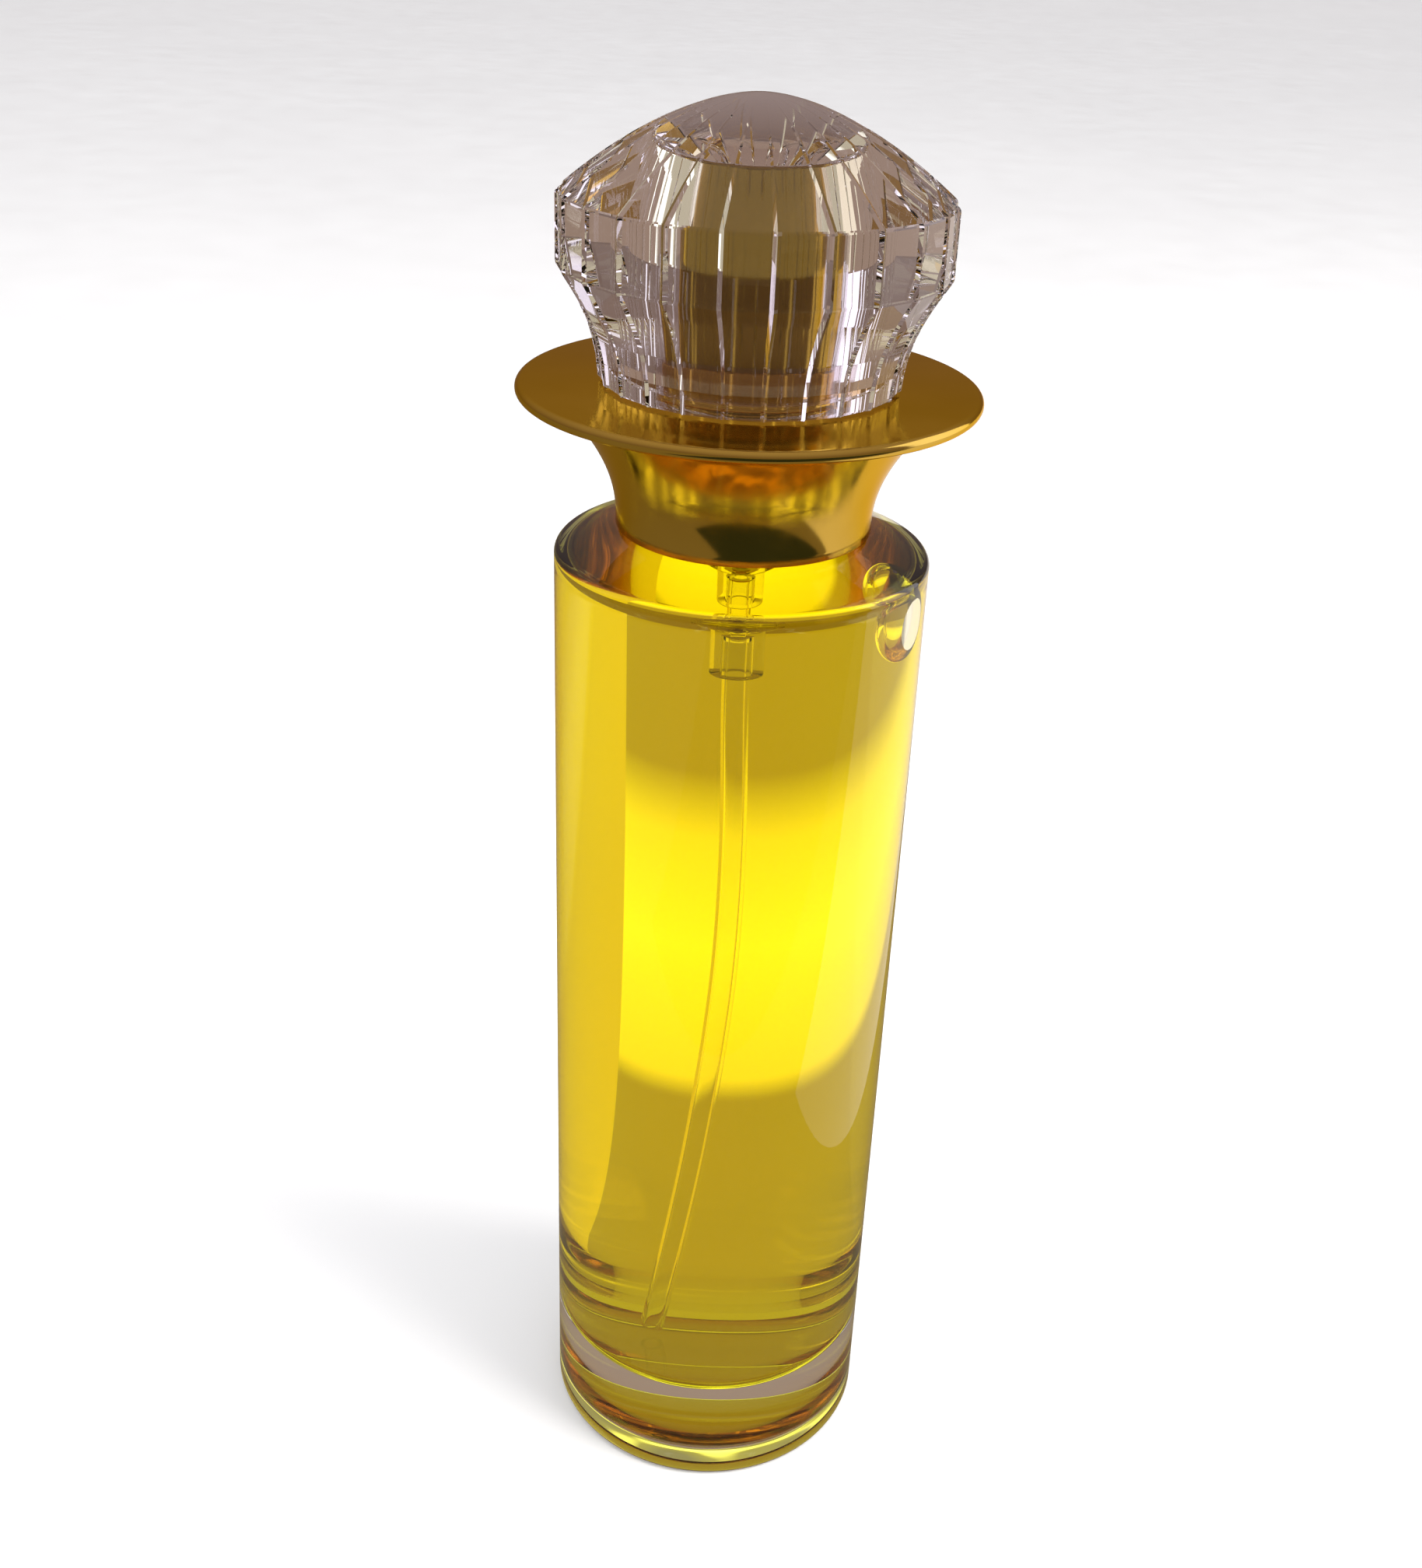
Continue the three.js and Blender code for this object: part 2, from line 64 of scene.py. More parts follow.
# ---- sizes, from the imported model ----

BODY_RADIUS = high("glass_bottle").x
NECK_TOP = high("glass_bottle").z
DISC_RADIUS = high("collar").x
COLLAR_FOOT = low("collar").z
SPIGOT_TOP = high("collar").z
HEAD_RADIUS = high("actuator_shell").x
HEAD_FOOT = low("actuator_shell").z
HEAD_TOP = high("actuator_shell").z
NOZZLE_Z = (low("nozzle_insert").z + high("nozzle_insert").z) / 2
NOZZLE_RADIUS = high("nozzle_insert").x
CAP_FOOT = low("cap_dome").z
CAP_TOP = high("cap_dome").z
FILL = high("perfume").z
LIQUID_CLEARANCE = 0.2  # between the CAD liquid and the floor of the glass
FLOOR_Z = low("perfume").z - LIQUID_CLEARANCE

WALL = 1.6
BODY_EDGE = 0.8
PUNT_LIP = 0.3
SHOULDER_Z = 98.4
SHOULDER_EDGE = 0.8
SHOULDER_SLOPE = math.radians(19)
SHOULDER_GLASS = 1.6
INNER_CORNER = 1
PUNT_RADIUS = 12.8
PUNT_DEPTH = 2.8
FLOOR_CROWN = 1.2
FLOOR_CORNER = 2
NECK_RADIUS = 6.6
NECK_BORE = 4.7
NECK_ROOT = 0.7  # bend where the neck meets the shoulder
BEAD_RADIUS = 7.45
BEAD_HEIGHT = 3.2
BEAD_EDGE = 0.6
BORE_MOUTH_EDGE = 0.4
WETTING = 0.03  # the liquid reaches this far into the glass, so that no film of air is left between them
STROKE = 4.2
BUBBLE_RADII = (2.5, 2.9, 3.5)
BUBBLE_CENTRE = (12.2, -4.5, 93.9)

TUBE_OUTER = 0.9
TUBE_INNER = 0.6
TUBE_ROUTE = [
    (0, 0, 91.4),
    (0, 0, 85),
    (0.3, 0, 70),
    (0, -0.3, 55),
    (-1.2, -1.2, 38),
    (-2.7, -2.5, 24),
    (-4.2, -3.9, 13.2),
]

CHAMBER_RADIUS = 2.3
CHAMBER_OUTER = 2.9
CHAMBER_FLOOR = 94.5
TAIL_RADIUS = 1.75
SOCKET_RADIUS = 0.97
SOCKET_DEPTH = 3.6
INLET_RADIUS = 0.5
BALL_CHAMBER = 1.25
SEAL_RADIUS = 3.4
SEAL_DEPTH = 0.85
FLANGE_THICK = 1
FLANGE_RADIUS = high("pump_housing").x
FLANGE_TOP = high("pump_housing").z
TAIL_END = low("pump_housing").z

COLLAR_FOOT_RADIUS = 11.15
COLLAR_WALL = 0.7
FLARE_START = 101.2
FLARE_END = 110.5
FLARE_END_RADIUS = 15.3
DISC_TOP = 112.8
DISC_RIM = 0.55
SPIGOT_RADIUS = 7.1
SPIGOT_BORE = 6.8
SPIGOT_FILLET = 0.4

SHELL_WALL = 0.45
SHELL_EDGE = 0.6
NOZZLE_EDGE = 0.15
NOZZLE_HOLE = 0.15

CAP_FACETS = 24
CAP_TURN = math.radians(5.5)
CAP_RADIUS = 16.25
CAP_FOOT_RADIUS = 12.75
CAP_WAIST = 115
GIRDLE_LOW = 122.3
GIRDLE_HIGH = 127.85
CROWN_POWER = 1.75
CAP_BORE = 7.3
CAP_BORE_TOP = 129.8
BORE_EDGE = 0.3
GRIP_RADIUS = 8.1
GRIP_HEIGHT = 4.2
GRIP_GAP = 0.1
RIDGE_HALF = 0.02  # half of the narrow ridge between two facets, in radians
RIDGE_RISE = 0.2
BEVEL = 0.16
FACET_ANGLE = math.radians(9)  # bevelled edges bend more than this
FACET_SHARP = math.radians(4)  # the crown's own curve bends less than this from step to step
LEVEL = 0.001  # an edge whose ends differ in height by less than this is level

FINE_STEPS = 192
ROUND_STEPS = 144
BORE_STEPS = 128
PUMP_STEPS = 96
NOZZLE_STEPS = 64


# ---- mesh helpers ----

def arc(radius, height, bend, start, end, steps=8):
    angles = [math.radians(start + (end - start) * i / steps) for i in range(steps + 1)]
    return [(radius + bend * math.cos(a), height + bend * math.sin(a)) for a in angles]


def between(before, start, end, after, t):
    """The number a share t of the way from start to end on a Catmull-Rom curve."""
    linear = (end - before) * t
    square = (2 * before - 5 * start + 4 * end - after) * t ** 2
    cube = (3 * start - before - 3 * end + after) * t ** 3
    return 0.5 * (2 * start + linear + square + cube)


def curve(points, steps=6):
    """A smooth curve through points of two or three numbers."""
    path = []
    for i in range(len(points) - 1):
        around = [points[min(max(i + k, 0), len(points) - 1)] for k in (-1, 0, 1, 2)]
        for step in range(steps):
            path.append(tuple(between(*numbers, step / steps) for numbers in zip(*around)))
    return path + [points[-1]]


def lathe_bmesh(outline, steps=ROUND_STEPS, closed=False, columns=None):
    """Turns an outline about the Z axis, in even steps or in columns of (angle, share of the radius).

    Angle 0 is at the front, on -Y. A closed outline is a ring that doesn't reach the axis.
    """
    columns = columns or [(2 * math.pi * i / steps, 1) for i in range(steps)]
    steps = len(columns)
    bm = bmesh.new()
    rings = []
    for radius, height in outline:
        if radius == 0:
            rings.append([bm.verts.new((0, 0, height * MM))])
            continue
        rings.append([
            bm.verts.new((radius * share * math.sin(a) * MM, -radius * share * math.cos(a) * MM, height * MM))
            for a, share in columns
        ])
    pairs = list(zip(rings, rings[1:])) + ([(rings[-1], rings[0])] if closed else [])
    for lower, upper in pairs:
        for i in range(steps):
            j = (i + 1) % steps
            sides = ((lower, i), (lower, j), (upper, j), (upper, i))
            unique = list(dict.fromkeys(ring[k % len(ring)] for ring, k in sides))
            if len(unique) > 2:
                bm.faces.new(unique)
    bmesh.ops.recalc_face_normals(bm, faces=bm.faces)
    return bm


def made(name, bm, material=None, body=None, replaced=(), sharp=35):
    """Makes a smooth object of the bmesh: a piece if it has a body, otherwise a cutting tool."""
    mesh = bpy.data.meshes.new(name)
    bm.to_mesh(mesh)
    bm.free()
    piece = bpy.data.objects.new(name, mesh)
    bpy.context.scene.collection.objects.link(piece)
    mesh.shade_smooth()
    mesh.set_sharp_from_angle(angle=math.radians(sharp))
    if body is not None:
        mesh.materials.append(material)
        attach(piece, body)
        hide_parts(*replaced)
    return piece


def cut(piece, tool):
    """Takes the tool's shape out of the piece and deletes the tool."""
    modifier = piece.modifiers.new("cut", "BOOLEAN")
    modifier.operation = "DIFFERENCE"
    modifier.solver = "EXACT"
    modifier.object = tool
    graph = bpy.context.evaluated_depsgraph_get()
    mesh = bpy.data.meshes.new_from_object(piece.evaluated_get(graph))
    piece.modifiers.clear()
    piece.data = mesh
    bpy.data.objects.remove(tool)


def nozzle_ward(outline, height, closed=False):
    """Lays an outline turned about Z down along +Y, at a height."""
    bm = lathe_bmesh(outline, NOZZLE_STEPS, closed=closed)
    bm.transform(Matrix.Translation((0, 0, height * MM)) @ Matrix.Rotation(-math.pi / 2, 4, "X"))
    return bm


# ---- node helpers ----

class Nodes:
    """A material and the nodes that are added to it."""

    def __init__(self, name):
        self.material = bpy.data.materials.new(name)
        self.material.use_nodes = True
        self.tree = self.material.node_tree
        self.shader = self.tree.nodes["Principled BSDF"]
        self.output = self.tree.nodes["Material Output"]
        coordinates = self.tree.nodes.new("ShaderNodeTexCoord")
        self.place = coordinates.outputs["Object"]

    def link(self, source, target):
        self.tree.links.new(source, target)

    def noise(self, scale, detail=3.0, stretch=None):
        texture = self.tree.nodes.new("ShaderNodeTexNoise")
        texture.inputs["Scale"].default_value = scale
        texture.inputs["Detail"].default_value = detail
        place = self.place
        if stretch:
            mapping = self.tree.nodes.new("ShaderNodeMapping")
            mapping.inputs["Scale"].default_value = stretch
            self.link(place, mapping.inputs["Vector"])
            place = mapping.outputs["Vector"]
        self.link(place, texture.inputs["Vector"])
        return texture.outputs["Fac"]

    def spread(self, value, start, end, to_start, to_end):
        node = self.tree.nodes.new("ShaderNodeMapRange")
        limits = {"From Min": start, "From Max": end, "To Min": to_start, "To Max": to_end}
        for socket, number in limits.items():
            node.inputs[socket].default_value = number
        self.link(value, node.inputs["Value"])
        return node.outputs["Result"]

    def ramp(self, value, stops):
        node = self.tree.nodes.new("ShaderNodeValToRGB")
        band = node.color_ramp
        while len(band.elements) < len(stops):
            band.elements.new(0.5)
        for element, (place, color) in zip(band.elements, stops):
            element.position = place
            element.color = (*color, 1)
        self.link(value, node.inputs["Fac"])
        return node.outputs["Color"]

    def colour(self, value, stops):
        self.link(self.ramp(value, stops), self.shader.inputs["Base Color"])

    def roughness(self, value, start, end, to_start, to_end):
        self.link(self.spread(value, start, end, to_start, to_end), self.shader.inputs["Roughness"])

    def bump(self, value, distance, strength):
        node = self.tree.nodes.new("ShaderNodeBump")
        node.inputs["Strength"].default_value = strength
        node.inputs["Distance"].default_value = distance
        self.link(value, node.inputs["Height"])
        self.link(node.outputs["Normal"], self.shader.inputs["Normal"])

    def glow(self, colour, strength=1.0):
        """Makes the surface shine by itself, in a colour or the colour of a socket."""
        node = self.tree.nodes.new("ShaderNodeEmission")
        node.inputs["Strength"].default_value = strength
        if isinstance(colour, tuple):
            node.inputs["Color"].default_value = (*colour, 1)
        else:
            self.link(colour, node.inputs["Color"])
        self.link(node.outputs["Emission"], self.output.inputs["Surface"])
        return self.material

    def set(self, **values):
        names = {"transmission": "Transmission Weight", "ior": "IOR", "metal": "Metallic"}
        for key, value in values.items():
            self.shader.inputs[names[key]].default_value = value


def bottle_glass():
    n = Nodes("bottle_glass")
    n.set(transmission=1.0, ior=1.5)
    n.colour(n.noise(40), [(0.3, (0.96, 0.975, 0.955)), (0.7, (0.985, 0.99, 0.975))])
    n.roughness(n.noise(260), 0.35, 0.8, 0.0, 0.02)
    n.bump(n.noise(55, 1.0, (1, 1, 0.35)), 0.00004, 0.35)
    return n.material


def perfume_liquid():
    n = Nodes("perfume_liquid")
    n.set(transmission=1.0, ior=1.36)
    n.colour(n.noise(25), [(0.35, (0.96, 0.92, 0.02)), (0.65, (0.98, 0.95, 0.03))])
    n.roughness(n.noise(120), 0.3, 0.7, 0.0, 0.008)
    volume = n.tree.nodes.new("ShaderNodeVolumeAbsorption")
    volume.inputs["Color"].default_value = (0.97, 0.85, 0.0, 1)
    volume.inputs["Density"].default_value = 80
    n.link(volume.outputs["Volume"], n.output.inputs["Volume"])
    return n.material


def cap_clear():
    n = Nodes("cap_clear")
    n.set(transmission=1.0, ior=1.49)
    n.colour(n.noise(60), [(0.3, (0.84, 0.79, 0.79)), (0.7, (0.9, 0.86, 0.88))])
    n.roughness(n.noise(500), 0.4, 0.8, 0.0, 0.02)
    n.bump(n.noise(90, 1.0), 0.00003, 0.3)
    return n.material


def gold(name, colour, shade):
    n = Nodes(name)
    n.set(metal=1.0)
    n.shader.inputs["Specular Tint"].default_value = (0.95, 0.72, 0.35, 1)
    n.colour(n.noise(70), [(0.3, shade), (0.7, colour)])
    n.roughness(n.noise(320, 4.0), 0.3, 0.75, 0.09, 0.17)
    n.bump(n.noise(1500, 2.0, (1, 1, 0.15)), 0.00001, 0.2)
    return n.material


def plastic(name, colour, shade, roughness, transmission=0.0, ior=1.5):
    n = Nodes(name)
    n.set(transmission=transmission, ior=ior)
    n.colour(n.noise(150), [(0.3, shade), (0.7, colour)])
    n.roughness(n.noise(600), 0.3, 0.7, roughness * 0.8, roughness * 1.2)
    n.bump(n.noise(2500, 2.0), 0.00001, 0.15)
    return n.material


def metal(name, colour, shade, roughness):
    n = Nodes(name)
    n.set(metal=1.0)
    n.colour(n.noise(200), [(0.3, shade), (0.7, colour)])
    n.roughness(n.noise(900, 3.0, (1, 1, 0.1)), 0.3, 0.7, roughness * 0.7, roughness * 1.3)
    n.bump(n.noise(3000, 2.0), 0.00001, 0.2)
    return n.material


GLASS = bottle_glass()
PERFUME = perfume_liquid()
CAP = cap_clear()
GOLD = gold("gold_aluminium", (0.74, 0.5, 0.1), (0.64, 0.42, 0.07))
# The head's gold is the collar's gold at under six tenths of its brightness: painted shade, for the gold that
# sits dim inside the cap.
SHADED_HEAD_GOLD = gold("head_gold_painted_shade", (0.42, 0.29, 0.05), (0.34, 0.23, 0.035))
# The tube and pump stand in the liquid, so their refractive index is relative to it.
TUBE = plastic("clear_plastic", (0.99, 0.99, 0.96), (0.96, 0.96, 0.92), 0.02, 1.0, 1.12)
NATURAL = plastic("natural_plastic", (0.98, 0.98, 0.94), (0.95, 0.95, 0.9), 0.08, 0.95, 1.09)
WHITE = plastic("white_plastic", (0.93, 0.93, 0.91), (0.88, 0.88, 0.85), 0.3)
RUBBER = plastic("black_rubber", (0.05, 0.05, 0.05), (0.03, 0.03, 0.03), 0.7)
GOLD_PLASTIC = plastic("gold_plastic", (0.5, 0.33, 0.11), (0.42, 0.27, 0.08), 0.2)
STEEL = metal("spring_steel", (0.72, 0.72, 0.74), (0.6, 0.6, 0.62), 0.2)
ALUMINIUM = metal("crimp_aluminium", (0.85, 0.85, 0.84), (0.75, 0.75, 0.74), 0.3)


# ---- glass bottle and its liquid ----

slope = math.degrees(SHOULDER_SLOPE)
inside = BODY_RADIUS - WALL


def shoulder(radius):
    return SHOULDER_Z + (BODY_RADIUS - SHOULDER_EDGE - radius) * math.tan(SHOULDER_SLOPE)


def inner_shoulder(radius):
    return shoulder(radius) - SHOULDER_GLASS


def cavity(grow=0.0, rings=()):
    """The inside of the glass from the floor's middle up to the neck bore, with extra rings of the wall."""
    corner_z = FLOOR_Z + FLOOR_CORNER
    top = inner_shoulder(inside) - INNER_CORNER
    return [
        (0, FLOOR_Z + FLOOR_CROWN - grow),
        (inside * 0.4, FLOOR_Z + FLOOR_CROWN * 0.82 - grow),
        *arc(inside - FLOOR_CORNER, corner_z, FLOOR_CORNER + grow, -90, 0),
        *[(inside + grow, z) for z in rings],
        *arc(inside - INNER_CORNER, top, INNER_CORNER + grow, 0, 90 - slope),
        (NECK_BORE + 0.5, inner_shoulder(NECK_BORE + 0.5) + grow),
        (NECK_BORE + grow, inner_shoulder(NECK_BORE) + 0.6),
    ]


def punt(steps):
    """The hollow under the base, a shallow dome from the axis to just before its mouth."""
    angles = [math.pi / 2 * i / steps for i in range(steps)]
    rise = PUNT_DEPTH - PUNT_LIP
    return [(PUNT_RADIUS * math.sin(a), PUNT_LIP + rise * math.cos(a)) for a in angles]


def glass_outline():
    root = NECK_RADIUS + NECK_ROOT
    bead = NECK_TOP - BEAD_HEIGHT
    return [
        *punt(16),
        *arc(PUNT_RADIUS + PUNT_LIP, PUNT_LIP, PUNT_LIP, 180, 270, 4),
        *arc(BODY_RADIUS - BODY_EDGE, BODY_EDGE, BODY_EDGE, -90, 0),
        *arc(BODY_RADIUS - SHOULDER_EDGE, SHOULDER_Z - SHOULDER_EDGE, SHOULDER_EDGE, 0, 90 - slope),
        (root, shoulder(root)),
        *arc(root, shoulder(root) + NECK_ROOT, NECK_ROOT, -90, -180, 4)[1:],
        (NECK_RADIUS, bead - 0.3),
        (BEAD_RADIUS - 0.1, bead + 0.4),
        (BEAD_RADIUS, bead + 0.6),
        *arc(BEAD_RADIUS - BEAD_EDGE, NECK_TOP - BEAD_EDGE, BEAD_EDGE, 0, 90, 5),
        *arc(NECK_BORE + BORE_MOUTH_EDGE, NECK_TOP - BORE_MOUTH_EDGE, BORE_MOUTH_EDGE, 90, 180, 4),
        *reversed(cavity()),
    ]


glass_bmesh = lathe_bmesh(glass_outline(), FINE_STEPS)
made("bottle_body", glass_bmesh, GLASS, "bottle", ["glass_bottle"])


def bubble():
    bm = bmesh.new()
    bmesh.ops.create_uvsphere(bm, u_segments=64, v_segments=32, radius=MM)
    bm.transform(Matrix.Translation(Vector(BUBBLE_CENTRE) * MM) @ Matrix.Diagonal((*BUBBLE_RADII, 1)))
    return made("bubble", bm)


# Short faces of the liquid's wall round the bubble, where it is cut out.
bubble_rings = [BUBBLE_CENTRE[2] + BUBBLE_RADII[2] * k / 4 for k in range(-5, 3)]
# The liquid ends inside the wall of the pump's chamber, so the plunger has air around it all the way down.
shaft_radius = (CHAMBER_RADIUS + CHAMBER_OUTER) / 2
shaft_foot = FILL - STROKE - 0.5
liquid_outline = [
    *cavity(WETTING, bubble_rings)[:-1],
    (NECK_BORE, FILL),
    (shaft_radius, FILL),
    (shaft_radius, shaft_foot),
    (0, shaft_foot),
]
liquid_bmesh = lathe_bmesh(liquid_outline, FINE_STEPS)
liquid = made("perfume_fill", liquid_bmesh, PERFUME, "bottle", ["perfume"])
cut(liquid, bubble())
liquid.data.set_sharp_from_angle(angle=math.radians(30))


# ---- dip tube and pump ----

def tube_bmesh(route, outer, inner, sides=32):
    """A hollow tube along a route, its two walls joined at both ends."""
    bm = bmesh.new()
    angles = [2 * math.pi * k / sides for k in range(sides)]
    walls = []
    for radius in (outer, inner):
        rings = []
        for i, point in enumerate(route):
            ahead = (route[min(i + 1, len(route) - 1)] - route[max(i - 1, 0)]).normalized()
            across = ahead.cross(Vector((0, 1, 0))).normalized()
            third = ahead.cross(across)
            spokes = [radius * (across * math.cos(a) + third * math.sin(a)) for a in angles]
            rings.append([bm.verts.new((point + spoke) * MM) for spoke in spokes])
        walls.append(rings)
    loops = [*walls[0], *reversed(walls[1])]
    for lower, upper in zip(loops, [*loops[1:], loops[0]]):
        for i in range(sides):
            j = (i + 1) % sides
            bm.faces.new((lower[i], lower[j], upper[j], upper[i]))
    bmesh.ops.recalc_face_normals(bm, faces=bm.faces)
    return bm


tube_route = [Vector(point) for point in curve(TUBE_ROUTE, 12)]
tube = tube_bmesh(tube_route, TUBE_OUTER, TUBE_INNER)
made("dip_tube_fine", tube, TUBE, "bottle", ["dip_tube"])

gasket_top = FLANGE_TOP - FLANGE_THICK
neck_plug = NECK_BORE - 0.3
funnel = curve([
    (TAIL_RADIUS, CHAMBER_FLOOR - 1.6),
    (2.4, CHAMBER_FLOOR - 1.15),
    (CHAMBER_OUTER, CHAMBER_FLOOR - 0.6),
], 4)
housing_outline = [
    (SOCKET_RADIUS, TAIL_END + 0.2),
    *arc(TAIL_RADIUS - 0.3, TAIL_END + 0.3, 0.3, -90, 0, 4),
    (TAIL_RADIUS, CHAMBER_FLOOR - 1.9),
    *funnel,
    (CHAMBER_OUTER, gasket_top - 1.1),
    (neck_plug, gasket_top - 0.5),
    (neck_plug, gasket_top),
    (FLANGE_RADIUS, gasket_top),
    (FLANGE_RADIUS, FLANGE_TOP),
    (SEAL_RADIUS, FLANGE_TOP),
    (SEAL_RADIUS, FLANGE_TOP - SEAL_DEPTH),
    (CHAMBER_RADIUS, FLANGE_TOP - SEAL_DEPTH),
    (CHAMBER_RADIUS, CHAMBER_FLOOR),
    (BALL_CHAMBER, CHAMBER_FLOOR),
    (BALL_CHAMBER, CHAMBER_FLOOR - 1.5),
    (INLET_RADIUS, CHAMBER_FLOOR - 2.3),
    (INLET_RADIUS, TAIL_END + SOCKET_DEPTH),
    (SOCKET_RADIUS, TAIL_END + SOCKET_DEPTH),
]
housing = lathe_bmesh(housing_outline, PUMP_STEPS, closed=True)
made("pump_body", housing, NATURAL, "bottle", ["pump_housing"])


# ---- collar ----

def flare(offset, steps):
    """A parabola from the straight foot to the disc; offset moves it inwards for the inside of the wall."""
    path = []
    for i in range(steps + 1):
        share = i / steps
        radius = COLLAR_FOOT_RADIUS + (FLARE_END_RADIUS - COLLAR_FOOT_RADIUS) * share ** 2
        path.append((radius - offset, FLARE_START + (FLARE_END - FLARE_START) * share))
    return path


rim_z = DISC_TOP - DISC_RIM
spigot_lip = (SPIGOT_RADIUS - SPIGOT_BORE) / 2
throat = curve([
    (FLARE_END_RADIUS - 0.9, FLARE_END - 1.25),
    (FLARE_END_RADIUS, FLARE_END),
    (FLARE_END_RADIUS + 1.4, FLARE_END + 0.7),
    (DISC_RADIUS - 0.9, rim_z - DISC_RIM - 0.1),
    (DISC_RADIUS - 0.4, rim_z - DISC_RIM + 0.08),
], 6)[6:-6]
collar_outline = [
    (COLLAR_FOOT_RADIUS - COLLAR_WALL, COLLAR_FOOT),
    *arc(COLLAR_FOOT_RADIUS - 0.15, COLLAR_FOOT + 0.15, 0.15, -90, 0, 3),
    *flare(0, 24)[:-1],
    *throat,
    *arc(DISC_RADIUS - DISC_RIM, rim_z, DISC_RIM, -60, 90, 10),
    *arc(SPIGOT_RADIUS + SPIGOT_FILLET, DISC_TOP + SPIGOT_FILLET, SPIGOT_FILLET, 270, 180, 5),
    *arc(SPIGOT_RADIUS - spigot_lip, SPIGOT_TOP - spigot_lip, spigot_lip, 0, 180, 6),
    (SPIGOT_BORE, DISC_TOP - COLLAR_WALL),
    (FLARE_END_RADIUS - COLLAR_WALL + 0.6, DISC_TOP - COLLAR_WALL),
    *reversed(flare(COLLAR_WALL, 12)),
]
collar = lathe_bmesh(collar_outline, FINE_STEPS, closed=True)
made("collar_shell", collar, GOLD, "bottle", ["collar"])


# ---- spray head ----

shell_inner = HEAD_RADIUS - SHELL_WALL
ceiling = HEAD_TOP - SHELL_WALL
head_outline = [
    (0, ceiling),
    (shell_inner - 0.2, ceiling),
    (shell_inner, ceiling - 0.2),
    (shell_inner, HEAD_FOOT),
    (HEAD_RADIUS - 0.1, HEAD_FOOT),
    (HEAD_RADIUS, HEAD_FOOT + 0.1),
    *arc(HEAD_RADIUS - SHELL_EDGE, HEAD_TOP - SHELL_EDGE, SHELL_EDGE, 0, 90, 8),
    (0, HEAD_TOP),
]
head_bmesh = lathe_bmesh(head_outline)
head = made("head_shell", head_bmesh, SHADED_HEAD_GOLD, "spray_head", ["actuator_shell"])
window_radius = NOZZLE_RADIUS + 0.1
window = [(0, 3), (window_radius, 3), (window_radius, HEAD_RADIUS + 1), (0, HEAD_RADIUS + 1)]
cut(head, made("nozzle_window", nozzle_ward(window, NOZZLE_Z)))

nozzle_front = high("nozzle_insert").y
nozzle_back = low("nozzle_insert").y
swirl_cup = curve([
    (0.5, nozzle_front - 0.04),
    (0.3, nozzle_front - 0.25),
    (NOZZLE_HOLE, nozzle_front - 0.35),
], 4)
nozzle_outline = [
    (NOZZLE_HOLE, nozzle_back),
    (NOZZLE_RADIUS, nozzle_back),
    *arc(NOZZLE_RADIUS - NOZZLE_EDGE, nozzle_front - NOZZLE_EDGE, NOZZLE_EDGE, 0, 90, 3),
    (0.57, nozzle_front),
    *swirl_cup,
]
nozzle = nozzle_ward(nozzle_outline, NOZZLE_Z, closed=True)
made("nozzle_face", nozzle, GOLD_PLASTIC, "spray_head", ["nozzle_insert"])


# ---- faceted cap ----

def crown(steps):
    """A shallow dome from the top of the girdle to the apex."""
    path = []
    for i in range(steps + 1):
        radius = CAP_RADIUS * (1 - i / steps)
        rise = 1 - (radius / CAP_RADIUS) ** CROWN_POWER
        path.append((radius, GIRDLE_HIGH + (CAP_TOP - GIRDLE_HIGH) * rise))
    return path


cove = [
    (CAP_FOOT_RADIUS + 0.2, CAP_WAIST),
    (CAP_FOOT_RADIUS + 0.8, CAP_WAIST + 2.3),
    (CAP_FOOT_RADIUS + 1.9, CAP_WAIST + 4.7),
    (CAP_RADIUS, GIRDLE_LOW),
]
cap_outline = [
    (0, CAP_FOOT),
    (CAP_FOOT_RADIUS - 0.15, CAP_FOOT),
    (CAP_FOOT_RADIUS, CAP_FOOT + 0.15),
    *curve(cove, 6),
    *crown(22),
]
# Three columns for each facet's edge: the ridge itself and the foot of the ridge to either side of it.
half_facet = math.pi / CAP_FACETS
valley = math.cos(half_facet) / math.cos(half_facet - RIDGE_HALF) - RIDGE_RISE / CAP_RADIUS
cap_columns = [
    (CAP_TURN + 2 * half_facet * i + offset, share)
    for i in range(CAP_FACETS)
    for offset, share in ((-RIDGE_HALF, valley), (0, 1), (RIDGE_HALF, valley))
]
cap_bmesh = lathe_bmesh(cap_outline, columns=cap_columns)


def level(edge):
    a, b = (vert.co.z for vert in edge.verts)
    return abs(a - b) < LEVEL * MM


girdle_edges = [
    edge for edge in cap_bmesh.edges
    if level(edge) and edge.verts[0].co.z > (CAP_WAIST + 1) * MM and edge.calc_face_angle() > FACET_ANGLE
]
bmesh.ops.bevel(
    cap_bmesh, geom=girdle_edges, offset=BEVEL * MM, segments=2, affect="EDGES", profile=0.5,
    clamp_overlap=True,
)
cap = made("cap_facets", cap_bmesh, CAP, "cap", ["cap_dome"], sharp=180)
grip_top = CAP_FOOT + GRIP_HEIGHT
bore_outline = [
    (0, CAP_FOOT - 1),
    (GRIP_RADIUS, CAP_FOOT - 1),
    (GRIP_RADIUS, grip_top),
    (CAP_BORE, grip_top),
    *arc(CAP_BORE - BORE_EDGE, CAP_BORE_TOP - BORE_EDGE, BORE_EDGE, 0, 90, 6),
    (0, CAP_BORE_TOP),
]
cut(cap, made("cap_bore", lathe_bmesh(bore_outline, BORE_STEPS)))
cap.data.shade_smooth()
cap.data.set_sharp_from_angle(angle=FACET_SHARP)

